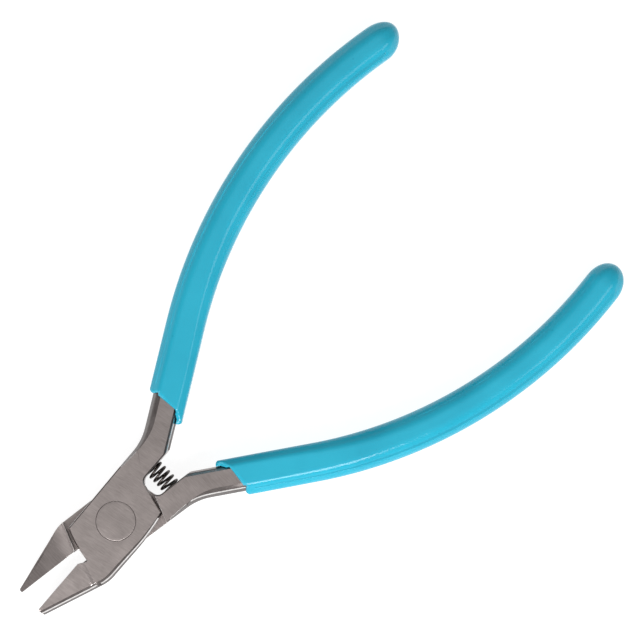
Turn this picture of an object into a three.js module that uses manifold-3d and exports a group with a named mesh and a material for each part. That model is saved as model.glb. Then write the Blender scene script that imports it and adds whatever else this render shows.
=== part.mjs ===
// Small diagonal cutting pliers: two lapped steel levers on one flush rivet, a coil spring between their
// tangs, and a dipped vinyl grip on each tang. Millimetres, +Z up.
//
// The origin is the pivot axis at the underside of the head, and +X points to the jaw tips. The upper lever
// has its jaw on the +Y side and its tang on the -Y side. The lower lever is the same forging turned over
// about X, with its jaw ground narrower. Both are drawn closed, with the cutting edge along X, and each
// stands open by halfOpening.

import * as THREE from "three";
import { mergeVertices } from "three/addons/utils/BufferGeometryUtils.js";
import Module from "manifold-3d";

const wasm = await Module();
wasm.setup();

// ---------------------------------------------------------------- driving dimensions

const degree = Math.PI / 180;
const halfOpening = 5.6 * degree; // swing of each lever from closed to open

const thickness = 6; // of the head, the jaws' roots and the tangs
const lapPlay = 0.06; // air between the two joint plates
const cuttingLine = -0.2; // where the closed jaws meet
const edgePlay = 0.03; // from each closed cutting edge to that line
const stopPlay = 0.06; // air at the opening stop
const headBevel = 0.25;

// The joint plate in plan, with the tang on the -Y side.
const plateFront = new THREE.Vector2(6.8, -5.84);
const plateRear = -6.25; // where its long straight edge bends into the tang
const frontBulge = new THREE.Vector2(8.2, -3.3); // pulls the front edge into a shallow curve
const frontTop = 8.92; // where the front edge reaches the cutting edge
const rearCorner = new THREE.Vector2(-6.72, 5.65);
const rearFoot = new THREE.Vector2(-8.93, -1.22);
const rootRadius = 1.5;

// The jaws in plan: the outer edge tapers to a blunt tip. Only the upper lever has the notch at its root.
const upperJaw = {
  outer: 6.47,
  tip: new THREE.Vector2(22.15, 1.32),
  taper: 22.1 * degree,
  edge: cuttingLine + edgePlay,
};
const lowerJaw = {
  outer: 5.97,
  tip: new THREE.Vector2(22.15, 0.98),
  taper: 20.7 * degree,
  edge: edgePlay - cuttingLine,
};
const jawBend = 8; // radius where the taper starts
const tipRadius = 0.35;
const notch = [
  [9.1, 0.6],
  [9.86, 0.44],
  [10.7, upperJaw.edge],
];

// Relief of the jaw's two faces: a hollow starts each one, and a plane falls from it to the tip. The start
// is a line square to a bearing from the pivot, at a distance from the pivot, and nothing on the right of
// inner, measured along that line, is relieved. The hollow is run long, and its wall is wall wide.
const plateSideRelief = { bearing: -22.5 * degree, start: 8.5, inner: 3, wall: 0.9, run: 1.3 };
const lapSideRelief = { bearing: 15.4 * degree, start: 9.36, inner: -20, wall: 0.3, run: 1.1 };
const hollowDepth = 0.45;
const reliefFall = 0.093; // depth for each millimetre beyond the hollow
const lapJawChamfer = 0.42; // along the outer edge of the relieved lap side
const edgeBevel = 20 * degree; // of the cutting edge, from the vertical
const edgeBevelHeight = 1.7;

// Shoulders that bound the lap, each a line square to a bearing from the pivot.
const jawShoulder = { bearing: 15.4 * degree, distance: 9.21 };
const tangShoulderBearing = 194.6 * degree;

// The tang and handle: a straight stretch, then a long arc back towards the centre plane.
const tangStart = new THREE.Vector2(-20.7, -6.25); // a point of the straight centre line
const tangSlope = 27.3 * degree;
const tangHalf = 2.73;
const tangShift = 0.13; // of the tang outward from the grip's centre line
const straightLength = 17.3;
const handleRadius = 89;
const handleSweep = 44.5 * degree; // to the outside of the grip's round end
const outerBend = 10.5;
const buriedChamfer = 0.7; // of the handle inside the grip

// The forging's sides: a chamfer off the face meets a draft that leans out towards mid-thickness. Widths are
// in plan at full size, and the rise is their depth for each millimetre of width.
const sideChamfer = { width: 1.4, rise: 1 };
const sideDraft = { width: 0.85, rise: 2.9 };
const outerTangSize = 1.12;
const innerTangSize = 0.62;
const jawSize = 0.72;
const rearCornerSize = 0.3;

const gripHalf = 3.6;
const gripThickness = 7.7;
const gripRound = 2;
const gripGap = 0.06; // between the vinyl and the tang
const gripMouth = -21.1; // the dip line, square to the tool's axis when the tool stands open
const tangEndGap = 2.6; // vinyl beyond the tang's end

const rivetHead = 3.7;
const rivetShank = 2.75;
const rivetCone = 1.25; // height of each countersunk head
const fixedPlay = 0.04; // rivet to the upper lever, which holds it
const runningPlay = 0.06; // rivet to the lower lever, which turns on it

const springX = -12; // along the closed tang
const springRadius = 1.64; // of the coil, to the middle of its wire
const springWire = 0.22;
const springTurns = 9.5;
const springEndGap = 0.05;
const pocketRadius = 2.15;
const pocketDepth = 2.5;

// ---------------------------------------------------------------- solids

function bare(geometry) {
  const copy = geometry.clone();
  copy.deleteAttribute("normal");
  copy.deleteAttribute("uv");
  return mergeVertices(copy, 1e-4);
}

// A closed geometry as a solid that can be joined and cut.
function solid(geometry) {
  const merged = bare(geometry);
  return new wasm.Manifold(
    new wasm.Mesh({
      numProp: 3,
      vertProperties: new Float32Array(merged.attributes.position.array),
      triVerts: new Uint32Array(merged.index.array),
    }),
  );
}

function cut(body, cutters) {
  return cutters.reduce((left, cutter) => left.subtract(solid(cutter)), body);
}

// The same cutter for the lower face: its heights are mirrored about mid-thickness.
function forUnderside(geometry) {
  const mirrored = bare(geometry).scale(1, 1, -1).translate(0, 0, thickness);
  mirrored.index.array.reverse();
  return mirrored;
}

function meshOf(body, name, material) {
  const { vertProperties, triVerts } = body.getMesh();
  const shared = new THREE.BufferGeometry();
  shared.setAttribute("position", new THREE.BufferAttribute(new Float32Array(vertProperties), 3));
  shared.setIndex(new THREE.BufferAttribute(new Uint32Array(triVerts), 1));
  const faceted = shared.toNonIndexed();
  faceted.computeVertexNormals();
  const mesh = new THREE.Mesh(faceted, material);
  mesh.name = name;
  return mesh;
}

// A plan shape as a slab between two heights, its rims broken by a bevel inside the outline.
function slab(shape, low, high, { bevel = 0, bevelSegments = 1, curveSegments = 5 } = {}) {
  const geometry = new THREE.ExtrudeGeometry(shape, {
    depth: high - low - 2 * bevel,
    curveSegments,
    bevelEnabled: bevel > 0,
    bevelSize: bevel,
    bevelThickness: bevel,
    bevelOffset: -bevel,
    bevelSegments,
  });
  return geometry.translate(0, 0, low + bevel);
}

// ---------------------------------------------------------------- outlines

function bearing(angle, length = 1) {
  return new THREE.Vector2(Math.cos(angle), Math.sin(angle)).multiplyScalar(length);
}

// Runs an outline towards a corner and round it on an arc, heading for the next point.
function turnAt(outline, corner, next, radius) {
  const back = outline.currentPoint.clone().sub(corner).normalize();
  const ahead = next.clone().sub(corner).normalize();
  const half = Math.acos(back.dot(ahead)) / 2;
  const centre = back.clone().add(ahead).setLength(radius / Math.sin(half)).add(corner);
  const reach = radius / Math.tan(half);
  const start = corner.clone().addScaledVector(back, reach);
  const from = start.clone().sub(centre).angle();
  const to = corner.clone().addScaledVector(ahead, reach).sub(centre).angle();
  outline.lineTo(start.x, start.y);
  outline.absarc(centre.x, centre.y, radius, from, to, back.cross(ahead) > 0);
}

// The straight stretch's heading and its normal towards the outer side, and the arc that follows it.
const tangAlong = bearing(Math.PI + tangSlope);
const tangOutward = new THREE.Vector2(-tangAlong.y, tangAlong.x);
const arcFrom = Math.atan2(tangOutward.y, tangOutward.x);
const arcCentre = besideTang(straightLength, -handleRadius);

// A point beside the tang's straight centre line; a positive offset is outward.
function besideTang(distance, offset) {
  return tangStart
    .clone()
    .addScaledVector(tangAlong, distance)
    .addScaledVector(tangOutward, offset);
}

// Where a side of the tang would meet a line along X if the bend between them were sharp.
function tangMeets(offset, y) {
  const side = besideTang(0, offset);
  return side.addScaledVector(tangAlong, (y - side.y) / tangAlong.y);
}
const outerSide = tangShift + tangHalf;
const innerSide = tangShift - tangHalf;
const outerCorner = tangMeets(outerSide, plateRear);
const innerCorner = tangMeets(innerSide, rearFoot.y);

// The handle in plan: a band shifted outward from the centre line, with a round end that stops endGap short
// of the grip's end.
function handleShape(half, shift, from, endGap) {
  const radius = handleRadius + shift;
  const arcTo = arcFrom - handleSweep + (endGap + half) / handleRadius;
  const end = bearing(arcTo, radius).add(arcCentre);
  const outer = besideTang(from, shift + half);
  const inner = besideTang(from, shift - half);
  const arcStart = besideTang(straightLength, shift + half);
  const shape = new THREE.Shape();
  shape.moveTo(outer.x, outer.y);
  shape.lineTo(arcStart.x, arcStart.y);
  shape.absarc(arcCentre.x, arcCentre.y, radius + half, arcFrom, arcTo, true);
  shape.absarc(end.x, end.y, half, arcTo, arcTo - Math.PI, true);
  shape.absarc(arcCentre.x, arcCentre.y, radius - half, arcTo, arcFrom, false);
  shape.lineTo(inner.x, inner.y);
  return shape;
}

function onTaper({ tip, taper }, x) {
  return new THREE.Vector2(x, tip.y + (tip.x - x) * Math.tan(taper));
}

// Runs an outline along the jaw's taper and the plate's side, to the plate's rear corner.
function followJawSide(outline, { outer, tip, taper }) {
  const taperStart = new THREE.Vector2(tip.x - (outer - tip.y) / Math.tan(taper), outer);
  turnAt(outline, taperStart, new THREE.Vector2(0, outer), jawBend);
  outline.lineTo(1, outer);
  outline.quadraticCurveTo(-2, outer, rearCorner.x, rearCorner.y);
}

// The lever in plan, from the jaw's tip to a cut across the straight tang, inside the grip.
function headShape(jaw, notched) {
  const tangEnd = 12;
  const inner = besideTang(tangEnd, innerSide);
  const outer = besideTang(tangEnd, outerSide);
  const shape = new THREE.Shape();
  shape.moveTo(jaw.tip.x - 1, jaw.edge);
  turnAt(shape, new THREE.Vector2(jaw.tip.x, jaw.edge), jaw.tip, tipRadius);
  turnAt(shape, jaw.tip, onTaper(jaw, 15), tipRadius);
  followJawSide(shape, jaw);
  turnAt(shape, rearFoot, innerCorner, rootRadius);
  turnAt(shape, innerCorner, inner, rootRadius / 2);
  shape.lineTo(inner.x, inner.y);
  shape.lineTo(outer.x, outer.y);
  turnAt(shape, outerCorner, plateFront, outerBend);
  shape.lineTo(plateFront.x, plateFront.y);
  shape.quadraticCurveTo(frontBulge.x, frontBulge.y, frontTop, jaw.edge);
  if (notched) notch.forEach(([x, y]) => shape.lineTo(x, y));
  return shape;
}

// ---------------------------------------------------------------- cutters

// The other lever's rear corner meets the tang shoulder at full opening, which stops the tool there.
function tangShoulderDistance() {
  const cornerBearing = -rearCorner.angle() - 2 * halfOpening;
  return rearCorner.length() * Math.cos(tangShoulderBearing - cornerBearing) + stopPlay;
}

// The lap: everything between the two shoulders, under the joint plate.
function lapCutter() {
  const reach = 12;
  const shoulders = [
    [jawShoulder.bearing, jawShoulder.distance],
    [tangShoulderBearing, tangShoulderDistance()],
  ];
  const corners = shoulders.flatMap(([angle, distance]) =>
    [-reach, reach].map((across) =>
      bearing(angle, distance).add(bearing(angle + Math.PI / 2, across)),
    ),
  );
  return slab(new THREE.Shape(corners), -1, thickness / 2 + lapPlay / 2);
}

// Relief of the jaw's upper face: a prism across the relief's bearing, with the hollow and the falling
// plane as its side view.
function reliefCutter({ bearing: angle, start, inner, wall, run }) {
  const above = thickness + 2;
  const floor = thickness - hollowDepth;
  const fallRun = 20;
  const width = 40;
  const profile = new THREE.Shape();
  profile.moveTo(start, above);
  profile.lineTo(start, thickness);
  profile.quadraticCurveTo(start + wall, floor, start + run, floor);
  profile.lineTo(start + run + fallRun, floor - reliefFall * fallRun);
  profile.lineTo(start + run + fallRun, above);
  const prism = new THREE.ExtrudeGeometry(profile, {
    depth: width,
    bevelEnabled: false,
    curveSegments: 6,
  });
  return prism.translate(0, 0, -inner - width).rotateX(Math.PI / 2).rotateZ(angle);
}

// Height of the relieved upper face at a point in plan.
function relievedHeight({ bearing: angle, start, run }, x, y) {
  const beyond = x * Math.cos(angle) + y * Math.sin(angle) - start;
  const hollow = hollowDepth * THREE.MathUtils.clamp(beyond / run, 0, 1);
  return thickness - hollow - reliefFall * Math.max(beyond - run, 0);
}

// A bar that planes a chamfer off an edge of the upper face, rise deep for each millimetre of width. Each
// stop holds a point of the edge, the way out of the metal beside it, and the chamfer's width there; below
// zero, the bar is clear. The first two stops lie level, or nearly, which keeps the bar's section upright.
function chamferBar(stops, rise) {
  const reach = 3;
  const centres = stops.map(({ point, outward, width }) =>
    point
      .clone()
      .addScaledVector(outward, (reach - width) / 2)
      .addScaledVector(new THREE.Vector3(0, 0, 1), (rise * (reach - width)) / 2),
  );
  const diamond = new THREE.Shape([
    new THREE.Vector2(reach * rise, 0),
    new THREE.Vector2(0, reach),
    new THREE.Vector2(-reach * rise, 0),
    new THREE.Vector2(0, -reach),
  ]);
  return new THREE.ExtrudeGeometry(diamond, {
    steps: 2 * stops.length,
    extrudePath: new THREE.CatmullRomCurve3(centres),
  });
}

// The two bars that shape the forging's side along a plan path, at the size and height that each share of
// the path asks for. Side is 1 where the metal lies left of the path, and -1 where it lies right.
function sideBars(path, side, sizeAt, heightAt = () => thickness) {
  const count = 24;
  const shares = Array.from({ length: count + 1 }, (_, i) => i / count);
  return [sideDraft, sideChamfer].map(({ width, rise }) => {
    const stops = shares.map((share) => {
      const { x, y } = path.getPointAt(share);
      const tangent = path.getTangentAt(share);
      return {
        point: new THREE.Vector3(x, y, heightAt(x, y)),
        outward: new THREE.Vector3(tangent.y * side, -tangent.x * side, 0),
        width: width * sizeAt(share),
      };
    });
    return chamferBar(stops, rise);
  });
}

// The tang's outer side has its full size at the grip and shrinks to nothing beside the plate.
function outerTangBars() {
  const path = new THREE.Path();
  const inGrip = besideTang(9, outerSide);
  const plateEnd = outerCorner.clone().lerp(plateFront, 0.25);
  path.moveTo(inGrip.x, inGrip.y);
  turnAt(path, outerCorner, plateEnd, outerBend);
  path.lineTo(plateEnd.x, plateEnd.y);
  return sideBars(path, 1, (share) => outerTangSize * Math.min(1, 2.3 * (1 - share)));
}

// The tang's inner side is planed straight, so it runs out on the root just past the inner corner.
function innerTangBars() {
  const farEnd = besideTang(9, innerSide);
  const ahead = innerCorner.clone().addScaledVector(tangAlong, -2.5);
  return sideBars(new THREE.LineCurve(ahead, farEnd), 1, () => innerTangSize);
}

// The jaw's outer side falls with the relief, and runs on along the plate to a thin edge at its rear corner.
function jawSideBars(jaw) {
  const path = new THREE.Path();
  const ahead = onTaper(jaw, 24);
  path.moveTo(ahead.x, ahead.y);
  followJawSide(path, jaw);
  const sizeAt = (share) => THREE.MathUtils.mapLinear(Math.max(share, 0.6), 0.6, 1, jawSize, rearCornerSize);
  return sideBars(path, 1, sizeAt, (x, y) => relievedHeight(plateSideRelief, x, y));
}

// Chamfer along the jaw's outer edge on the lap side, drawn in the upper face.
function lapJawBar(jaw) {
  const outward = bearing(Math.PI / 2 - jaw.taper);
  const stops = [10.6, 11.4, 12.4, 17, 24].map((x, i) => {
    const { y } = onTaper(jaw, x);
    return {
      point: new THREE.Vector3(x, y, relievedHeight(lapSideRelief, x, y)),
      outward: new THREE.Vector3(outward.x, outward.y, 0),
      width: i ? lapJawChamfer : 0,
    };
  });
  return chamferBar(stops, 1);
}

// The bevel under a cutting edge that lies in the upper face and falls with its relief.
function edgeBevelCutter(relief, edge) {
  const near = 10; // in front of the plate
  const far = 26;
  const clear = 8;
  const lean = edgeBevelHeight * Math.tan(edgeBevel);
  const section = new THREE.Shape([
    new THREE.Vector2(0, 0),
    new THREE.Vector2(-clear, 0),
    new THREE.Vector2(-clear, -clear),
    new THREE.Vector2(lean, -clear),
    new THREE.Vector2(lean, -edgeBevelHeight),
  ]);
  const prism = new THREE.ExtrudeGeometry(section, { depth: far - near, bevelEnabled: false });
  const fall = reliefFall * Math.cos(relief.bearing);
  const edgeHeight = relievedHeight(relief, far, edge) + fall * (far - near);
  // The section's axes run along Y and Z, and the prism along X and down with the edge.
  const place = new THREE.Matrix4().set(
    0, 0, 1, near,
    1, 0, 0, edge,
    0, 1, -fall, edgeHeight,
    0, 0, 0, 1,
  );
  return prism.applyMatrix4(place);
}

// A rod about the pivot axis with a cone at each end, as wide as the rivet and its play. The cones run on
// past the faces by overrun.
function rivetRod(play, overrun) {
  const slope = (rivetHead - rivetShank) / rivetCone;
  const wide = rivetHead + play + slope * overrun;
  const profile = [
    [0, -overrun],
    [wide, -overrun],
    [rivetShank + play, rivetCone],
    [rivetShank + play, thickness - rivetCone],
    [wide, thickness + overrun],
    [0, thickness + overrun],
  ];
  const points = profile.map(([radius, height]) => new THREE.Vector2(radius, height));
  return new THREE.LatheGeometry(points, 64).rotateX(Math.PI / 2);
}

// The blind pocket in the tang's inner side that seats one end of the spring.
function springPocket() {
  const overrun = 1;
  const length = pocketDepth + overrun;
  return new THREE.CylinderGeometry(pocketRadius, pocketRadius, length, 32).translate(
    springX,
    rearFoot.y - pocketDepth + length / 2,
    thickness / 2,
  );
}

// ---------------------------------------------------------------- pieces

// One lever, drawn closed. Both cutting edges lie in the tool's upper faces, so the turned-over lever has
// its edge and bevel on the face with the lap.
function lever({ jaw, notched, rivetPlay, edgeOnLapSide }) {
  const inGrip = 5;
  const blank = solid(slab(headShape(jaw, notched), 0, thickness, { bevel: headBevel })).add(
    solid(
      slab(handleShape(tangHalf, tangShift, inGrip, tangEndGap), 0, thickness, {
        bevel: buriedChamfer,
        curveSegments: 12,
      }),
    ),
  );
  const bevel = edgeOnLapSide
    ? forUnderside(edgeBevelCutter(lapSideRelief, jaw.edge))
    : edgeBevelCutter(plateSideRelief, jaw.edge);
  const tangBars = [...outerTangBars(), ...innerTangBars()];
  return cut(blank, [
    lapCutter(),
    reliefCutter(plateSideRelief),
    forUnderside(reliefCutter(lapSideRelief)),
    ...jawSideBars(jaw),
    forUnderside(lapJawBar(jaw)),
    bevel,
    ...tangBars,
    ...tangBars.map(forUnderside),
    rivetRod(rivetPlay, 1),
    springPocket(),
  ]);
}

// A dipped sleeve: the handle's band swollen by the vinyl, open at the dip line.
function grip() {
  const beforeMouth = -4;
  const low = (thickness - gripThickness) / 2;
  const skin = slab(handleShape(gripHalf, 0, beforeMouth, 0), low, low + gripThickness, {
    bevel: gripRound,
    bevelSegments: 4,
    curveSegments: 12,
  });
  const cavity = slab(
    handleShape(tangHalf + gripGap, tangShift, beforeMouth - 1, tangEndGap - gripGap),
    -gripGap,
    thickness + gripGap,
    { bevel: headBevel, curveSegments: 12 },
  );
  const side = 40;
  const mouth = new THREE.BoxGeometry(side, side, side)
    .translate(gripMouth + side / 2, 0, 0)
    .rotateZ(-halfOpening);
  return cut(solid(skin), [cavity, mouth]);
}

// The coil's centre line along +Y from the origin, with one turn closed up at each end.
class CoilCurve extends THREE.Curve {
  constructor(length) {
    super();
    this.length = length;
    this.arcLengthDivisions = 1200;
  }

  getPoint(share, target = new THREE.Vector3()) {
    const closedPitch = 2 * springWire + 0.03;
    const openPitch = (this.length - 2 * closedPitch) / (springTurns - 2);
    const turn = share * springTurns;
    const closedStart = Math.min(turn, 1);
    const closedEnd = Math.max(turn - springTurns + 1, 0);
    const open = turn - closedStart - closedEnd;
    const angle = 2 * Math.PI * turn;
    return target.set(
      springRadius * Math.sin(angle),
      closedPitch * (closedStart + closedEnd) + openPitch * open,
      springRadius * Math.cos(angle),
    );
  }
}

// The spring stands between the pocket floors of the open tool, clear of their slant.
function spring() {
  const floor = new THREE.Vector2(springX, rearFoot.y - pocketDepth);
  const mouth = new THREE.Vector2(springX, rearFoot.y);
  [floor, mouth].forEach((point) => point.rotateAround(new THREE.Vector2(), halfOpening));
  const slant = (springRadius + springWire) * Math.sin(halfOpening);
  const half = -floor.y - slant - springWire - springEndGap;
  const wire = new THREE.Shape().absarc(0, 0, springWire, 0, 2 * Math.PI, false);
  const coil = new THREE.ExtrudeGeometry(wire, {
    steps: Math.round(16 * springTurns),
    curveSegments: 3,
    extrudePath: new CoilCurve(2 * half),
  });
  return solid(coil.translate((floor.x + mouth.x) / 2, -half, thickness / 2));
}

// ---------------------------------------------------------------- materials and assembly

function steel(name, color, roughness) {
  return new THREE.MeshStandardMaterial({ name, color, roughness, metalness: 1 });
}
const leverSteel = steel("brushed_steel", 0x938987, 0.36);
const rivetSteel = steel("rivet_steel", 0x958b89, 0.36);
const springSteel = steel("spring_steel", 0x3c3634, 0.5);
const vinyl = new THREE.MeshStandardMaterial({ name: "vinyl", color: 0x3cafc9, roughness: 0.28 });

const upperLever = lever({ jaw: upperJaw, notched: true, rivetPlay: fixedPlay, edgeOnLapSide: false });
const lowerLever = lever({ jaw: lowerJaw, notched: false, rivetPlay: runningPlay, edgeOnLapSide: true });

const upperSide = new THREE.Group();
upperSide.rotation.z = halfOpening;
upperSide.add(
  meshOf(upperLever, "upper_lever", leverSteel),
  meshOf(grip(), "upper_grip", vinyl),
  meshOf(solid(rivetRod(0, 0)), "pivot_rivet", rivetSteel),
);

const turnedOver = new THREE.Group();
turnedOver.rotation.x = Math.PI;
turnedOver.position.z = thickness;
turnedOver.add(
  meshOf(lowerLever, "lower_lever", leverSteel.clone()),
  meshOf(grip(), "lower_grip", vinyl.clone()),
);
const lowerSide = new THREE.Group();
lowerSide.rotation.z = -halfOpening;
lowerSide.add(turnedOver);

const pliers = new THREE.Group();
pliers.name = "diagonal_cutting_pliers";
pliers.add(upperSide, lowerSide, meshOf(spring(), "return_spring", springSteel));

export default pliers;
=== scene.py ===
"""Looks of the diagonal cutting pliers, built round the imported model: metres, in the model's own frame.

The origin is the pivot axis under the head, +X points to the jaw tips and +Z out of the head's upper face.
The upper side's handle is on the -Y side and the lower side's is its mirror image.
"""

import math

import bmesh
import bpy
from mathutils import Matrix, Vector
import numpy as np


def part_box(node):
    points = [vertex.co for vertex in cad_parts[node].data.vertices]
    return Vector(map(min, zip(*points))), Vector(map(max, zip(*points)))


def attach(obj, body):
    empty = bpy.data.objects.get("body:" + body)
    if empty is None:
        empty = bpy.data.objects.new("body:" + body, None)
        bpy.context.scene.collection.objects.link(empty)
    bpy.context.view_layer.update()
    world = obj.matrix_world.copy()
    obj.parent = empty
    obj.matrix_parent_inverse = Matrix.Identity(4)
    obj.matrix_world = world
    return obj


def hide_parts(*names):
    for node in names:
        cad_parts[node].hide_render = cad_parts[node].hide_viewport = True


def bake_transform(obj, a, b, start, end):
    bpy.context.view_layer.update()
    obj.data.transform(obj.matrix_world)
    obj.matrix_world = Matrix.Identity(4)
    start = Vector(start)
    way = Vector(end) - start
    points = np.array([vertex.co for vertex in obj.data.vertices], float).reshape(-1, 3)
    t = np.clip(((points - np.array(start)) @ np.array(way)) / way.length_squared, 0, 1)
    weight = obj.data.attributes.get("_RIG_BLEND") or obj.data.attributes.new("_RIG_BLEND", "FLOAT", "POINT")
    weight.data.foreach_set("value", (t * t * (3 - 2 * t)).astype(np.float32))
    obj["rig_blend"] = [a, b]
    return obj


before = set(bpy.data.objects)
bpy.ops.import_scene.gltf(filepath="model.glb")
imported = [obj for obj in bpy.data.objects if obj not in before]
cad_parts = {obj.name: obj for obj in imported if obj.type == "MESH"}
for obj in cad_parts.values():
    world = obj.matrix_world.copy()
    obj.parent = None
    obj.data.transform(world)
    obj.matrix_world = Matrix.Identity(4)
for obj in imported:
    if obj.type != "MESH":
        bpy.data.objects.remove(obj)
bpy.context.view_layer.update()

MM = 0.001
HALF_OPENING = math.radians(5.6)  # each lever's turn from closed to the rest pose
BRUSH_TURN = math.radians(7)  # of the grinding lines from square across a closed lever
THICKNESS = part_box("upper_lever")[1].z
MID = THICKNESS / 2

# The handle's centre line, drawn closed: a straight stretch, then an arc back towards the centre plane.
TANG_START = Vector((-20.7 * MM, -6.25 * MM, 0))
TANG_SLOPE = math.radians(27.3)
STRAIGHT_LENGTH = 17.3 * MM
HANDLE_RADIUS = 89 * MM
HANDLE_SWEEP = math.radians(44.5)
HANDLE_LENGTH = STRAIGHT_LENGTH + HANDLE_RADIUS * HANDLE_SWEEP
TANG_HALF = 2.73 * MM
TANG_SHIFT = 0.13 * MM  # of the tang outward from that line

RIVET_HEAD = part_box("pivot_rivet")[1].x
RIVET_SHANK = 2.75 * MM
RIVET_CONE = 1.25 * MM  # depth at which the head has narrowed to the shank
RIVET_RIM = 0.05 * MM  # the broken edge round the head, on the rivet and on the levers

# Widths of the roundings on the levers' other edges.
SOFT = 0.22 * MM  # where a side's chamfer meets its draft
CRISP = 0.06 * MM  # at other corners

# Corners where many short edges meet, which stay unrounded: how far along the tool, how far to either side
# of its centre plane, and the reach.
PLAIN_CORNERS = (
    (10.4 * MM, 6.45 * MM, 0.35 * MM),  # where a jaw's side meets the plate
    (-7.27 * MM, 4.82 * MM, 0.12 * MM),  # the plate's rear corner
    (-12.15 * MM, 6.83 * MM, 0.2 * MM),  # where the tang's outer chamfer begins
)

# Degrees between a lever's faces and the tool's flat.
FACE_TILT = 12  # the ground and relieved faces lie flatter than this
CHAMFER_TILT = (38, 52)
DRAFT_TILT = (64, 78)
SIDE_TILT = (35, 80)  # chamfers and drafts together

# Degrees between the two faces at an edge, below which it counts as smooth.
LEAST_SIDE_ANGLE = 12  # on the forging's sides
LEAST_ANGLE = 31  # elsewhere

# The materials of a lever, in order: ground steel; a bright burnished edge, partly real wear and partly
# painted highlight; and the dark forged skin, partly real skin and partly painted shade.
GROUND, EDGE, SKIN_SHADE = range(3)

# Each rounding: its width, segments and material, and the share of the width that each kind of edge gets.
ROUNDINGS = {
    # Worn edges get the bright edge as a painted highlight; dull edges and the rivet's rim get the dark skin
    # as painted shade.
    "worn_rounding": (SOFT, 4, EDGE, {"worn_highlight": 1}),
    "dull_rounding": (SOFT, 4, SKIN_SHADE, {"dull": 1, "rivet": RIVET_RIM / SOFT}),
    "crisp_rounding": (CRISP, 2, EDGE, {"crisp": 1}),
}


# ---------------------------------------------------------------- meshes


def new_object(name, mesh, materials):
    made = bpy.data.objects.new(name, mesh)
    bpy.context.scene.collection.objects.link(made)
    for material in materials:
        mesh.materials.append(material)
    return made


def grid_mesh(name, rows):
    """A mesh through rows of points, each row a closed ring; the first and last rings are filled."""
    count = len(rows[0])
    points = [tuple(p) for row in rows for p in row]
    faces = []
    for r in range(len(rows) - 1):
        for i in range(count):
            j = (i + 1) % count
            a, b = r * count, (r + 1) * count
            faces.append((a + i, a + j, b + j, b + i))
    faces.append(tuple(range(count - 1, -1, -1)))
    last = (len(rows) - 1) * count
    faces.append(tuple(range(last, last + count)))
    mesh = bpy.data.meshes.new(name)
    mesh.from_pydata(points, [], faces)
    mesh.polygons.foreach_set("use_smooth", [True] * len(mesh.polygons))
    return mesh


def within(value, limits):
    low, high = limits
    return low < value < high


def tilt(face):
    """Degrees between a face and the tool's flat."""
    return math.degrees(math.acos(min(1, abs(face.normal.z))))


def is_side(face):
    """Whether a face is a chamfer or draft of the forging's sides, which look across the tool."""
    return within(tilt(face), SIDE_TILT) and abs(face.normal.y) > abs(face.normal.x)


def tidy_copy(node, name, skin_shade_on_both):
    """The CAD node's mesh with its triangles joined into the flat faces that they came from. The sides that
    look to +Y get the forging's dark skin, partly real skin and partly painted shade, and so do the others
    when the last argument is set."""
    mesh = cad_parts[node].data.copy()
    mesh.name = name
    mesh.materials.clear()
    shape = bmesh.new()
    shape.from_mesh(mesh)
    bmesh.ops.remove_doubles(shape, verts=shape.verts, dist=0.015 * MM)
    bmesh.ops.dissolve_degenerate(shape, dist=0.01 * MM, edges=shape.edges)
    bmesh.ops.dissolve_limit(
        shape,
        angle_limit=math.radians(0.6),
        verts=shape.verts,
        edges=shape.edges,
    )
    bmesh.ops.recalc_face_normals(shape, faces=shape.faces)
    for face in shape.faces:
        face.smooth = True
        # Painted shade: the dark skin marks the sides that look to +Y, and those that look to -Y only when
        # asked.
        has_skin_shade = is_side(face) and (skin_shade_on_both or face.normal.y > 0)
        face.material_index = SKIN_SHADE if has_skin_shade else GROUND
    shape.to_mesh(mesh)
    shape.free()
    for attribute in [a.name for a in mesh.attributes if a.name in ("custom_normal", "sharp_edge")]:
        mesh.attributes.remove(mesh.attributes[attribute])
    return mesh


def at_plain_corner(edge):
    for along, across, reach in PLAIN_CORNERS:
        for vertex in edge.verts:
            if math.hypot(vertex.co.x - along, abs(vertex.co.y) - across) < reach:
                return True
    return False


def edge_kind(edge):
    """How an edge of a lever is finished: where a side's chamfer meets its draft, "worn" bright with a painted
    highlight on the sides that look to +Y, towards the key light, and "dull" dark with painted shade on the
    sides that look to -Y; "rivet" round the rivet's head, dark with painted shade; "sharp" where a chamfer
    meets the ground face; "crisp" at other corners; and "plain" where it stays as it is, as does every edge
    that is not between two faces."""
    if len(edge.link_faces) != 2 or at_plain_corner(edge):
        return "plain"
    angle = math.degrees(edge.calc_face_angle(0))
    flatter, steeper = sorted(edge.link_faces, key=tilt)
    on_side = within(tilt(flatter), CHAMFER_TILT) and within(tilt(steeper), DRAFT_TILT)
    if on_side and angle > LEAST_SIDE_ANGLE:
        # Painted light and shade: side edges facing +Y, towards the key light, get a painted highlight; those
        # facing -Y get painted shade.
        return "dull" if steeper.normal.y < 0 else "worn_highlight"
    if angle < LEAST_ANGLE:
        return "plain"
    # Painted shade: the rim round the rivet's head gets the dark skin, drawn as a dark ring.
    if tilt(flatter) < FACE_TILT and edge.verts[0].co.xy.length < RIVET_HEAD + 0.3 * MM:
        return "rivet"
    if tilt(flatter) < FACE_TILT and within(tilt(steeper), CHAMFER_TILT):
        return "sharp"
    return "crisp"


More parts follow.
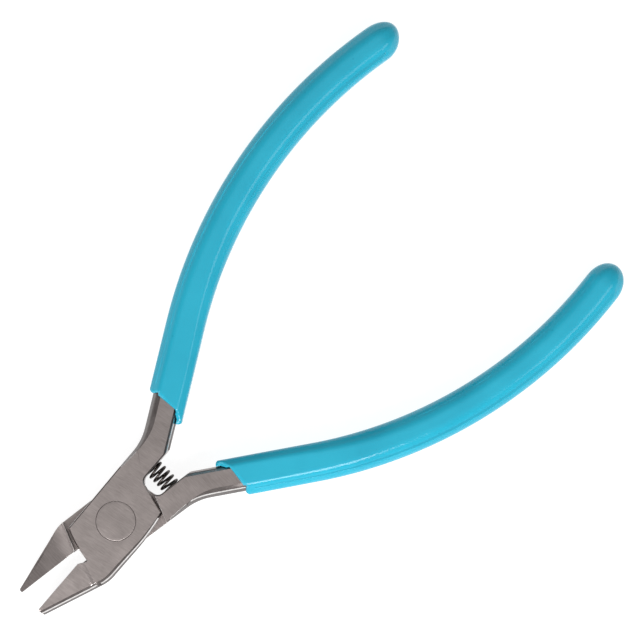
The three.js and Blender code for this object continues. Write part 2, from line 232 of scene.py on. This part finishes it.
def mark_edges(mesh):
    """Stores on the mesh each edge's share of every rounding, and which edges stay sharp."""
    shape = bmesh.new()
    shape.from_mesh(mesh)
    kinds = [edge_kind(edge) for edge in shape.edges]
    shape.free()
    for rounding, (_, _, _, shares) in ROUNDINGS.items():
        values = [shares.get(kind, 0) for kind in kinds]
        mesh.attributes.new(rounding, "FLOAT", "EDGE").data.foreach_set("value", values)
    sharp = [kind == "sharp" for kind in kinds]
    mesh.attributes.new("sharp_edge", "BOOLEAN", "EDGE").data.foreach_set("value", sharp)


def round_edges(piece):
    for rounding, (width, segments, material, _) in ROUNDINGS.items():
        bevel = piece.modifiers.new(rounding, "BEVEL")
        bevel.width = width
        bevel.segments = segments
        bevel.limit_method = "WEIGHT"
        bevel.edge_weight = rounding
        bevel.use_clamp_overlap = False
        bevel.miter_outer = "MITER_ARC"
        bevel.material = material
    weights = piece.modifiers.new("even faces", "WEIGHTED_NORMAL")
    weights.weight = 60
    weights.keep_sharp = True


# ---------------------------------------------------------------- node helpers


class Nodes:
    """A material's node tree, with short calls that add one node and join its inputs."""

    def __init__(self, name):
        self.material = bpy.data.materials.new(name)
        self.material.use_nodes = True
        self.tree = self.material.node_tree
        self.shader = self.tree.nodes["Principled BSDF"]

    def add(self, kind, inputs=None, **settings):
        node = self.tree.nodes.new("ShaderNode" + kind)
        for key, value in settings.items():
            setattr(node, key, value)
        for key, value in (inputs or {}).items():
            self.put(node.inputs[key], value)
        return node

    def put(self, socket, value):
        if isinstance(value, bpy.types.NodeSocket):
            self.tree.links.new(value, socket)
        else:
            socket.default_value = value

    def place(self, turn=0.0, stretch=(1, 1, 1)):
        """Object coordinates in millimetres, turned about Z and stretched along each axis."""
        coordinates = self.add("TexCoord").outputs["Object"]
        turned = self.add(
            "Mapping",
            {"Vector": coordinates, "Rotation": (0, 0, -turn)},
            vector_type="POINT",
        )
        scale = [1 / (MM * s) for s in stretch]
        scaled = self.add("VectorMath", {0: turned.outputs[0], 1: scale}, operation="MULTIPLY")
        return scaled.outputs[0]

    def noise(self, vector, scale=1.0, detail=2.0, roughness=0.5):
        inputs = {"Vector": vector, "Scale": scale, "Detail": detail, "Roughness": roughness}
        return self.add("TexNoise", inputs).outputs["Fac"]

    def ramp(self, value, low, high, from_value=0.0, to_value=1.0):
        inputs = {
            "Value": value,
            "From Min": low,
            "From Max": high,
            "To Min": from_value,
            "To Max": to_value,
        }
        return self.add("MapRange", inputs).outputs["Result"]

    def math(self, operation, a, b=0.0):
        return self.add("Math", {0: a, 1: b}, operation=operation).outputs[0]

    def mix(self, share, a, b):
        node = self.add("Mix", data_type="RGBA")
        self.put(node.inputs["Factor"], share)
        self.put(node.inputs["A"], a)
        self.put(node.inputs["B"], b)
        return node.outputs["Result"]

    def bump(self, height, strength, distance, normal=None):
        inputs = {"Height": height, "Strength": strength, "Distance": distance}
        if normal is not None:
            inputs["Normal"] = normal
        return self.add("Bump", inputs).outputs["Normal"]

    def finish(self, tone, roughness, normal, metallic=0.0):
        self.put(self.shader.inputs["Base Color"], tone)
        self.put(self.shader.inputs["Roughness"], roughness)
        self.put(self.shader.inputs["Metallic"], metallic)
        self.put(self.shader.inputs["Normal"], normal)
        return self.material


def colour(red, green, blue):
    return (red, green, blue, 1.0)


# ---------------------------------------------------------------- materials


STEEL_LIGHT = colour(0.44, 0.39, 0.379)
STEEL_DARK = colour(0.322, 0.285, 0.276)
STEEL_ROUGHNESS = 0.36
SHOULDER_BEARING = math.radians(-21)  # of the lower jaw's shoulder from the pivot, in the rest pose

# Where painted shade and light change the ground faces' tone, in mm: along the tool, and away from the pivot
# on that bearing.
TANG_FADE = (-22, 4)
TANG_PAINTED_SHADE = 0.84
ROOT_STEP = (9.0, 9.3)
JAW_FADE = (9.6, 12.2)


def brushed_steel(name, turn, jaw_painted_shade=1.0, root_painted_shading=1.0):
    """Ground steel: fine lines run along the turned Y axis, over faint stains. Painted shade darkens it
    towards the tang and on the jaw, and a painted step of light or shade sets its tone at the jaw's root."""
    n = Nodes(name)
    fine = n.noise(n.place(turn, (0.12, 1.7, 1.5)), detail=2, roughness=0.65)
    coarse = n.noise(n.place(turn, (0.36, 4.2, 3.0)), detail=2, roughness=0.6)
    cloud = n.noise(n.place(0, (4.5, 4.5, 4.5)), detail=3, roughness=0.55)
    grain = n.noise(n.place(0, (0.2, 0.2, 0.2)), detail=2, roughness=0.6)
    streaks = n.math("ADD", n.math("MULTIPLY", fine, 0.65), n.math("MULTIPLY", coarse, 0.35))
    shade = n.math("ADD", n.math("MULTIPLY", streaks, 0.75), n.math("MULTIPLY", cloud, 0.25))
    ground = n.mix(n.ramp(shade, 0.36, 0.64), STEEL_DARK, STEEL_LIGHT)
    along = n.add("SeparateXYZ", {"Vector": n.place()}).outputs["X"]
    # Painted shade towards the tang and on the jaw, and painted light or shade at the jaw's root, as the
    # arguments give.
    tang = n.ramp(along, *TANG_FADE, TANG_PAINTED_SHADE, 1.0)
    from_pivot = n.add("SeparateXYZ", {"Vector": n.place(SHOULDER_BEARING)}).outputs["X"]
    root = n.ramp(from_pivot, *ROOT_STEP, 1.0, root_painted_shading)
    jaw = n.ramp(from_pivot, *JAW_FADE, 1.0, jaw_painted_shade / root_painted_shading)
    shading = n.math("MULTIPLY", n.math("MULTIPLY", tang, root), jaw)
    tone = n.add("VectorMath", {0: ground, 1: shading}, operation="MULTIPLY").outputs[0]
    rough = n.math(
        "ADD",
        n.ramp(cloud, 0.3, 0.7, STEEL_ROUGHNESS - 0.03, STEEL_ROUGHNESS + 0.04),
        n.ramp(streaks, 0.35, 0.65, -0.03, 0.03),
    )
    relief = n.math("ADD", streaks, n.math("MULTIPLY", grain, 0.3))
    normal = n.bump(relief, 0.2, 0.02 * MM)
    return n.finish(tone, rough, normal, metallic=1.0)


def burnished_highlight_edge(name):
    """The burnished rim of the steel: brighter and smoother, with small nicks; the brightness is partly real
    burnish and partly painted highlight.
    """
    n = Nodes(name)
    nick = n.noise(n.place(0, (0.7, 0.7, 0.7)), detail=4, roughness=0.65)
    tone = n.mix(n.ramp(nick, 0.35, 0.65), colour(0.58, 0.555, 0.545), colour(0.76, 0.74, 0.735))
    rough = n.ramp(nick, 0.3, 0.7, 0.34, 0.24)
    normal = n.bump(nick, 0.12, 0.02 * MM)
    return n.finish(tone, rough, normal, metallic=1.0)


def forged_skin_and_shade(name):
    """The forging's sides as they left the tumbler, faintly pitted, and darker than the ground faces: partly
    real skin and partly painted shade.
    """
    n = Nodes(name)
    cloud = n.noise(n.place(0, (2.2, 2.2, 2.2)), detail=3, roughness=0.6)
    pits = n.noise(n.place(0, (0.25, 0.25, 0.25)), detail=3, roughness=0.6)
    shade = n.math("ADD", n.math("MULTIPLY", cloud, 0.6), n.math("MULTIPLY", pits, 0.4))
    tone = n.mix(n.ramp(shade, 0.35, 0.65), colour(0.105, 0.092, 0.089), colour(0.165, 0.147, 0.143))
    rough = n.ramp(cloud, 0.3, 0.7, 0.42, 0.5)
    normal = n.bump(shade, 0.25, 0.02 * MM)
    return n.finish(tone, rough, normal, metallic=1.0)


def spring_wire(name):
    """Dark oiled music wire with a drawn surface and dull patches."""
    n = Nodes(name)
    patch = n.noise(n.place(0, (0.6, 0.6, 0.6)), detail=3, roughness=0.6)
    grain = n.noise(n.place(0, (0.12, 0.12, 0.12)), detail=2)
    tone = n.mix(n.ramp(patch, 0.35, 0.65), colour(0.040, 0.034, 0.031), colour(0.12, 0.105, 0.098))
    rough = n.ramp(patch, 0.3, 0.7, 0.30, 0.48)
    normal = n.bump(grain, 0.2, 0.01 * MM)
    return n.finish(tone, rough, normal, metallic=1.0)


VINYL_LIGHT = colour(0.022, 0.415, 0.575)
VINYL_DEEP = colour(0.018, 0.375, 0.530)
VINYL_SPECK = colour(0.012, 0.270, 0.400)


def dipped_vinyl(name):
    """Glossy vinyl: an even colour with soft drifts, a few specks, and the slow ripple of a dipped coat."""
    n = Nodes(name)
    drift = n.noise(n.place(0, (9.0, 9.0, 9.0)), detail=3, roughness=0.5)
    fine = n.noise(n.place(0, (0.35, 0.35, 0.35)), detail=2, roughness=0.6)
    body = n.mix(n.ramp(drift, 0.3, 0.7), VINYL_DEEP, VINYL_LIGHT)
    speck_cells = n.add("TexVoronoi", {"Vector": n.place(0, (2.6, 2.6, 2.6)), "Scale": 1.0})
    speck = n.ramp(speck_cells.outputs["Distance"], 0.05, 0.085, 1.0, 0.0)
    chosen = n.ramp(n.add("SeparateColor", {"Color": speck_cells.outputs["Color"]}).outputs[0], 0.72, 0.74)
    mark = n.math("MULTIPLY", speck, chosen)
    tone = n.mix(n.math("MULTIPLY", mark, 0.5), body, VINYL_SPECK)
    rough = n.math("ADD", n.ramp(drift, 0.3, 0.7, 0.13, 0.18), n.ramp(fine, 0.35, 0.65, -0.02, 0.03))
    ripple = n.noise(n.place(0, (3.2, 3.2, 3.2)), detail=1, roughness=0.4)
    slow = n.bump(ripple, 0.35, 0.08 * MM)
    normal = n.bump(n.math("ADD", fine, n.math("MULTIPLY", mark, -0.8)), 0.18, 0.012 * MM, slow)
    n.shader.inputs["Specular IOR Level"].default_value = 0.34
    return n.finish(tone, rough, normal)


# ---------------------------------------------------------------- pieces


def steel_lever(node, body, turn, jaw_painted_shade, root_painted_shading, skin_shade_on_both):
    """A lever with the CAD's own faces, its edges finished by kind, some bright with painted highlights and
    some dark with painted shade, its sides darker than its flats with partly painted shade, and its steel
    toned with painted shade and light.
    """
    name = node + "_forging"
    steel = brushed_steel(name + "_steel", turn, jaw_painted_shade, root_painted_shading)
    edge = burnished_highlight_edge(name + "_edge")
    mesh = tidy_copy(node, name, skin_shade_on_both)
    mark_edges(mesh)
    piece = new_object(name, mesh, [steel, edge, forged_skin_and_shade(name + "_skin")])
    round_edges(piece)
    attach(piece, body)
    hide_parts(node)


def rivet(turn):
    """The rivet: two heads ground flush, each with a fine broken rim, over a plain shank."""
    radii = [(share * RIVET_HEAD, 0) for share in (0.02, 0.3, 0.6, 0.85)]
    radii += [
        (RIVET_HEAD - 1.6 * RIVET_RIM, 0),
        (RIVET_HEAD - 0.9 * RIVET_RIM, 0.12 * RIVET_RIM),
        (RIVET_HEAD - 0.35 * RIVET_RIM, 0.55 * RIVET_RIM),
        (RIVET_HEAD - 0.3 * RIVET_RIM, 1.2 * RIVET_RIM),
        (RIVET_SHANK, RIVET_CONE),
    ]
    profile = [(r, THICKNESS - d) for r, d in radii] + [(r, d) for r, d in reversed(radii)]
    around = 128
    angles = [2 * math.pi * i / around for i in range(around)]
    rows = [[(r * math.cos(a), r * math.sin(a), z) for a in angles] for r, z in reversed(profile)]
    steel = brushed_steel("rivet_steel_brushed", turn)
    piece = new_object("pivot_rivet_turned", grid_mesh("pivot_rivet_turned", rows), [steel])
    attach(piece, "upper_side")
    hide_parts("pivot_rivet")


def coil_spring():
    """The return spring: a right-hand coil of round wire on a slightly arched axis, with a closed turn at
    each end."""
    coil_radius = 1.64 * MM
    wire = 0.23 * MM
    turns = 9.5
    steps_per_turn = 40
    around = 14
    half_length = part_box("return_spring")[1].y - wire
    closed_pitch = 2 * wire + 0.03 * MM
    open_pitch = (2 * half_length - 2 * closed_pitch) / (turns - 2)
    middle_x = -11.9 * MM
    arch = 13.6  # per metre: the pockets slant away from each other

    def axis_point(y):
        return Vector((middle_x + arch * y * y, y, MID))

    def wire_point(turn):
        closed = min(turn, 1) + max(turn - turns + 1, 0)
        y = -half_length + closed_pitch * closed + open_pitch * (turn - closed)
        angle = 2 * math.pi * turn
        along = Vector((2 * arch * y, 1, 0)).normalized()
        up = Vector((0, 0, 1))
        side = along.cross(up)
        return axis_point(y) + (side * math.sin(angle) + up * math.cos(angle)) * coil_radius

    steps = int(turns * steps_per_turn)
    rows = []
    for i in range(steps + 1):
        turn = turns * i / steps
        here = wire_point(turn)
        tangent = (wire_point(turn + 0.01) - wire_point(turn - 0.01)).normalized()
        inward = (axis_point(here.y) - here).normalized()
        inward = (inward - tangent * inward.dot(tangent)).normalized()
        across = tangent.cross(inward)
        radius = wire * (0.8 if i in (0, steps) else 1)
        rows.append(
            [
                here + (inward * math.cos(a) + across * math.sin(a)) * radius
                for a in (2 * math.pi * k / around for k in range(around))
            ]
        )
    wire_steel = spring_wire("spring_wire_oiled")
    piece = new_object("return_spring_coil", grid_mesh("return_spring_coil", rows), [wire_steel])
    reach = half_length + wire
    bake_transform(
        piece,
        "upper_side",
        "lower_side",
        start=(middle_x, -reach, MID),
        end=(middle_x, reach, MID),
    )
    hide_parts("return_spring")


# ---------------------------------------------------------------- grips

GRIP_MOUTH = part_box("upper_grip")[1].x  # the dip line on the tang's side walls
GRIP_HALF = 3.68 * MM
GRIP_HEIGHT = (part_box("upper_grip")[1].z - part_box("upper_grip")[0].z) / 2  # from the middle to either face
FACE_DIP = 1.1 * MM  # how much further back the dip line lies on the flat faces
LIP_LENGTH = 0.6 * MM
LIP_HOLD = 4.6 * MM  # from here forward to the lip the wall hugs the tang
SETTLED = 6 * MM  # from here on the rings stand square to the centre line
WALL_END = 2.6 * MM  # vinyl beyond the tang's end
DOME = 4.7 * MM
ROUNDER_BY = 0.45  # share of the sleeve over which its section turns from chamfered to round


def handle_frame(distance):
    """A place on the centre line, the way along it and the way outward, in the upper side's rest pose."""
    along = Vector((-math.cos(TANG_SLOPE), -math.sin(TANG_SLOPE), 0))
    outward = Vector((-along.y, along.x, 0))
    if distance <= STRAIGHT_LENGTH:
        place = TANG_START + along * distance
    else:
        turn = (distance - STRAIGHT_LENGTH) / HANDLE_RADIUS
        arc_centre = TANG_START + along * STRAIGHT_LENGTH - outward * HANDLE_RADIUS
        turned = Matrix.Rotation(-turn, 3, "Z")
        place = arc_centre + turned @ outward * HANDLE_RADIUS
        along = turned @ along
        outward = turned @ outward
    swing = Matrix.Rotation(HALF_OPENING, 3, "Z")
    return swing @ place, swing @ along, swing @ outward


def rounded_section(half_width, half_height, outer_chamfer, inner_chamfer, rounding, step=6):
    """A ring of (across, height) points: a chamfered rectangle swollen by a rounding radius."""
    w, h = half_width - rounding, half_height - rounding
    corners = [
        (w, h - outer_chamfer, 0, 45),
        (w - outer_chamfer, h, 45, 90),
        (-w + inner_chamfer, h, 90, 135),
        (-w, h - inner_chamfer, 135, 180),
        (-w, -h + inner_chamfer, 180, 225),
        (-w + inner_chamfer, -h, 225, 270),
        (w - outer_chamfer, -h, 270, 315),
        (w, -h + outer_chamfer, 315, 360),
    ]
    outline = []
    for x, y, start, end in corners:
        for k in range(step + 1):
            angle = math.radians(start + (end - start) * k / step)
            outline.append((x + rounding * math.cos(angle), y + rounding * math.sin(angle)))
    # Each straight stretch has the same number of points in every section, so that sections can be joined.
    full = []
    for i, (x0, y0) in enumerate(outline):
        x1, y1 = outline[(i + 1) % len(outline)]
        pieces = 6 if i % (step + 1) == step else 1
        full += [(x0 + (x1 - x0) * k / pieces, y0 + (y1 - y0) * k / pieces) for k in range(pieces)]
    return full


def lip_start(across, height):
    """Distance along the centre line of the dip line, which lies further back on the flat faces."""
    place, along, outward = handle_frame(0)
    level = min(abs(height) / GRIP_HEIGHT, 1)
    share = max(0, (level - 0.5) / 0.5)
    dip_x = GRIP_MOUTH - FACE_DIP * share * share * (3 - 2 * share)
    return (dip_x - place.x - outward.x * across) / along.x


def ring(section, distances):
    """The section's points in the upper side's rest pose, each at its distance along the centre line."""
    placed = []
    for (u, v), distance in zip(section, distances):
        place, _, outward = handle_frame(distance)
        point = place + outward * u
        placed.append((point.x, point.y, MID + v))
    return placed


def square_ring(section, distance):
    return ring(section, [distance] * len(section))


def between(a, b, share):
    return [(u0 + (u1 - u0) * share, v0 + (v1 - v0) * share) for (u0, v0), (u1, v1) in zip(a, b)]


def cavity_rows(hug, starts):
    """Rings of the room for the tang, from its rounded closed end forward to just inside the dip line."""
    cavity = rounded_section(TANG_HALF + 0.05 * MM, MID + 0.05 * MM, 0.2 * MM, 0.2 * MM, 0.05 * MM)
    tang_end = HANDLE_LENGTH - WALL_END
    rows = []
    for k in range(8, 0, -1):
        angle = math.radians(88) * k / 8
        narrowed = [(u * math.cos(angle) + TANG_SHIFT, v) for u, v in cavity]
        rows.append(square_ring(narrowed, tang_end - TANG_HALF * (1 - math.sin(angle))))
    cavity = [(u + TANG_SHIFT, v) for u, v in cavity]
    for k in range(12):
        rows.append(square_ring(cavity, tang_end - TANG_HALF - (tang_end - TANG_HALF - SETTLED) * k / 12))
    for k in range(5):
        rows.append(square_ring(between(cavity, hug, k / 4), SETTLED - (0.4 + 0.25 * k) * MM))
    for k in range(1, 6):
        rows.append(ring(hug, [start + (LIP_HOLD - start) * (1 - k / 5) for start in starts]))
    return rows


def lip_rows(hug, skin, starts):
    """Rings round the lip, then back over the skin until they stand square to the centre line."""
    rows = []
    for k in range(1, 9):
        angle = math.pi / 2 * k / 8
        section = between(hug, skin, math.sin(angle))
        rows.append(ring(section, [start + LIP_LENGTH * (1 - math.cos(angle)) for start in starts]))
    for k in range(1, 13):
        share = k / 12
        rows.append(ring(skin, [s + LIP_LENGTH + (SETTLED - s - LIP_LENGTH) * share for s in starts]))
    return rows


def body_rows(skin, lean, longer):
    """Rings of the sleeve, which grows rounder towards the end, and of its dome."""
    round_skin = rounded_section(GRIP_HALF, GRIP_HEIGHT, 0.7 * MM, 0.6 * MM, 2.5 * MM)
    body_end = HANDLE_LENGTH + longer - DOME
    count = 90
    rows = []
    for k in range(1, count + 1):
        share = k / count
        rounder = min(1, share / ROUNDER_BY)
        section = between(skin, round_skin, rounder * rounder * (3 - 2 * rounder))
        section = [(u * (1 - 0.03 * share) + lean * share**2, v) for u, v in section]
        rows.append(square_ring(section, SETTLED + (body_end - SETTLED) * share))
    for k in range(1, 17):
        angle = math.radians(89) * k / 16
        width = 0.97 * math.cos(angle)
        height = math.cos(angle) ** 0.8
        drift = lean * (1 + math.sin(angle) ** 2)
        section = [(u * width + drift, v * height) for u, v in round_skin]
        rows.append(square_ring(section, body_end + DOME * math.sin(angle)))
    return rows


def grip_rows(lean, longer):
    """Rings of the sleeve from the cavity's closed end, forward to the lip, round it and back to the domed
    end. The dipped end leans to the side and is a little longer than the tang asks for."""
    skin = rounded_section(GRIP_HALF, GRIP_HEIGHT, 1.15 * MM, 0.6 * MM, 1.3 * MM)
    hug = rounded_section(TANG_HALF + 0.03 * MM, MID + 0.03 * MM, 1.0 * MM, 0.5 * MM, 0.05 * MM)
    hug = [(u + TANG_SHIFT, v) for u, v in hug]
    starts = [lip_start(u, v) for u, v in skin]
    return cavity_rows(hug, starts) + lip_rows(hug, skin, starts) + body_rows(skin, lean, longer)


def grip(node, body, mirrored, lean, longer):
    """A dipped sleeve; the lower side's is mirrored."""
    name = node + "_sleeve"
    mesh = grid_mesh(name, grip_rows(lean, longer))
    if mirrored:
        mesh.transform(Matrix.Scale(-1, 4, Vector((0, 1, 0))))
    shape = bmesh.new()
    shape.from_mesh(mesh)
    bmesh.ops.recalc_face_normals(shape, faces=shape.faces)
    shape.to_mesh(mesh)
    shape.free()
    piece = new_object(name, mesh, [dipped_vinyl(name + "_vinyl")])
    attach(piece, body)
    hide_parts(node)


# ---------------------------------------------------------------- stage


def floor():
    """A light table: pale film lit from below, which leaves almost no shadows."""
    reach = 2.5
    mesh = bpy.data.meshes.new("floor")
    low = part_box("upper_grip")[0].z - 0.02 * MM
    corners = [(-reach, -reach, low), (reach, -reach, low), (reach, reach, low), (-reach, reach, low)]
    mesh.from_pydata(corners, [], [(0, 1, 2, 3)])
    n = Nodes("light_table")
    fibre = n.noise(n.place(0, (1.5, 1.5, 1.5)), detail=3)
    tone = n.mix(n.ramp(fibre, 0.3, 0.7), colour(0.28, 0.28, 0.28), colour(0.32, 0.32, 0.32))
    film = n.finish(tone, 0.9, n.bump(fibre, 0.1, 0.02 * MM))
    n.shader.inputs["Emission Color"].default_value = colour(1, 1, 1)
    n.shader.inputs["Emission Strength"].default_value = 0.88
    new_object("floor", mesh, [film])


VIEW_ROLL = math.radians(43.5)  # of the tool's axis in the view
VIEW_TILT = (math.radians(1.1), math.radians(1.3))  # of the camera towards +X and +Y
IMAGE_RIGHT = Vector((-math.cos(VIEW_ROLL), math.sin(VIEW_ROLL), 0))
IMAGE_UP = Vector((-math.sin(VIEW_ROLL), -math.cos(VIEW_ROLL), 0))
VIEW_CENTRE = Vector((-53.5 * MM, -1.0 * MM, THICKNESS))
VIEW_WIDTH = 119.6 * MM
VIEW_DISTANCE = 0.9


def soft_light(name, direction, distance, size, power):
    """A white soft box that faces the middle of the view from a direction."""
    data = bpy.data.lights.new(name, "AREA")
    data.shape = "RECTANGLE"
    data.size, data.size_y = size
    data.energy = power
    lamp = bpy.data.objects.new(name, data)
    bpy.context.scene.collection.objects.link(lamp)
    way = direction.normalized()
    lamp.location = VIEW_CENTRE + way * distance
    lamp.rotation_euler = (-way).to_track_quat("-Z", "Y").to_euler()


def lighting():
    """A dim room with an overhead glow, a long key box at the view's lower side and weaker boxes around."""
    world = bpy.data.worlds.new("studio")
    world.use_nodes = True
    tree = world.node_tree
    way = tree.nodes.new("ShaderNodeSeparateXYZ")
    tree.links.new(tree.nodes.new("ShaderNodeTexCoord").outputs["Generated"], way.inputs[0])
    glow = tree.nodes.new("ShaderNodeValToRGB")
    glow.color_ramp.interpolation = "EASE"
    # How high a direction points, from the horizon to straight up, and how bright the room is there.
    stops = [(0.0, 0.55), (0.25, 0.42), (0.5, 0.24), (0.8, 0.24), (0.95, 0.66), (1.0, 0.72)]
    for height, strength in stops[2:]:
        glow.color_ramp.elements.new(height)
    for element, (height, strength) in zip(glow.color_ramp.elements, stops):
        element.position = height
        element.color = (strength, strength * 0.99, strength * 0.975, 1)
    tree.links.new(way.outputs["Z"], glow.inputs["Fac"])
    tree.links.new(glow.outputs["Color"], tree.nodes["Background"].inputs["Color"])
    bpy.context.scene.world = world
    up = Vector((0, 0, 1))
    soft_light("key", -IMAGE_UP - IMAGE_RIGHT * 0.1 + up * 1.0, 0.7, (0.45, 0.28), 4.4)
    soft_light("left", -IMAGE_RIGHT - IMAGE_UP * 0.1 + up * 0.7, 0.7, (0.2, 0.2), 0.5)
    soft_light("right", IMAGE_RIGHT - IMAGE_UP * 0.5 + up * 1.1, 0.8, (0.4, 0.3), 0.9)
    bpy.context.scene.view_settings.view_transform = "Standard"


def camera():
    data = bpy.data.cameras.new("camera")
    data.sensor_width = 36
    data.lens = data.sensor_width * VIEW_DISTANCE / VIEW_WIDTH
    made = bpy.data.objects.new("camera", data)
    back = Vector((math.sin(VIEW_TILT[0]), math.sin(VIEW_TILT[1]), 1)).normalized()
    right = (IMAGE_RIGHT - back * IMAGE_RIGHT.dot(back)).normalized()
    up = back.cross(right)
    turn = Matrix((right, up, back)).transposed()
    made.matrix_world = Matrix.Translation(VIEW_CENTRE + back * VIEW_DISTANCE) @ turn.to_4x4()
    data.clip_start = 0.01
    data.clip_end = 10
    bpy.context.scene.collection.objects.link(made)
    bpy.context.scene.camera = made


# Painted shade and light: the upper lever's jaw and jaw root are a little darker, the lower lever's jaw much
# darker and its root lighter.
steel_lever(
    "upper_lever",
    "upper_side",
    HALF_OPENING + BRUSH_TURN,
    jaw_painted_shade=0.95,
    root_painted_shading=0.95,
    skin_shade_on_both=True,
)
steel_lever(
    "lower_lever",
    "lower_side",
    BRUSH_TURN - HALF_OPENING,
    jaw_painted_shade=0.66,
    root_painted_shading=1.12,
    skin_shade_on_both=False,
)
rivet(HALF_OPENING + BRUSH_TURN)
coil_spring()
grip("upper_grip", "upper_side", mirrored=False, lean=0.5 * MM, longer=0.8 * MM)
grip("lower_grip", "lower_side", mirrored=True, lean=-0.1 * MM, longer=0.2 * MM)
floor()
lighting()
camera()

bpy.context.view_layer.update()
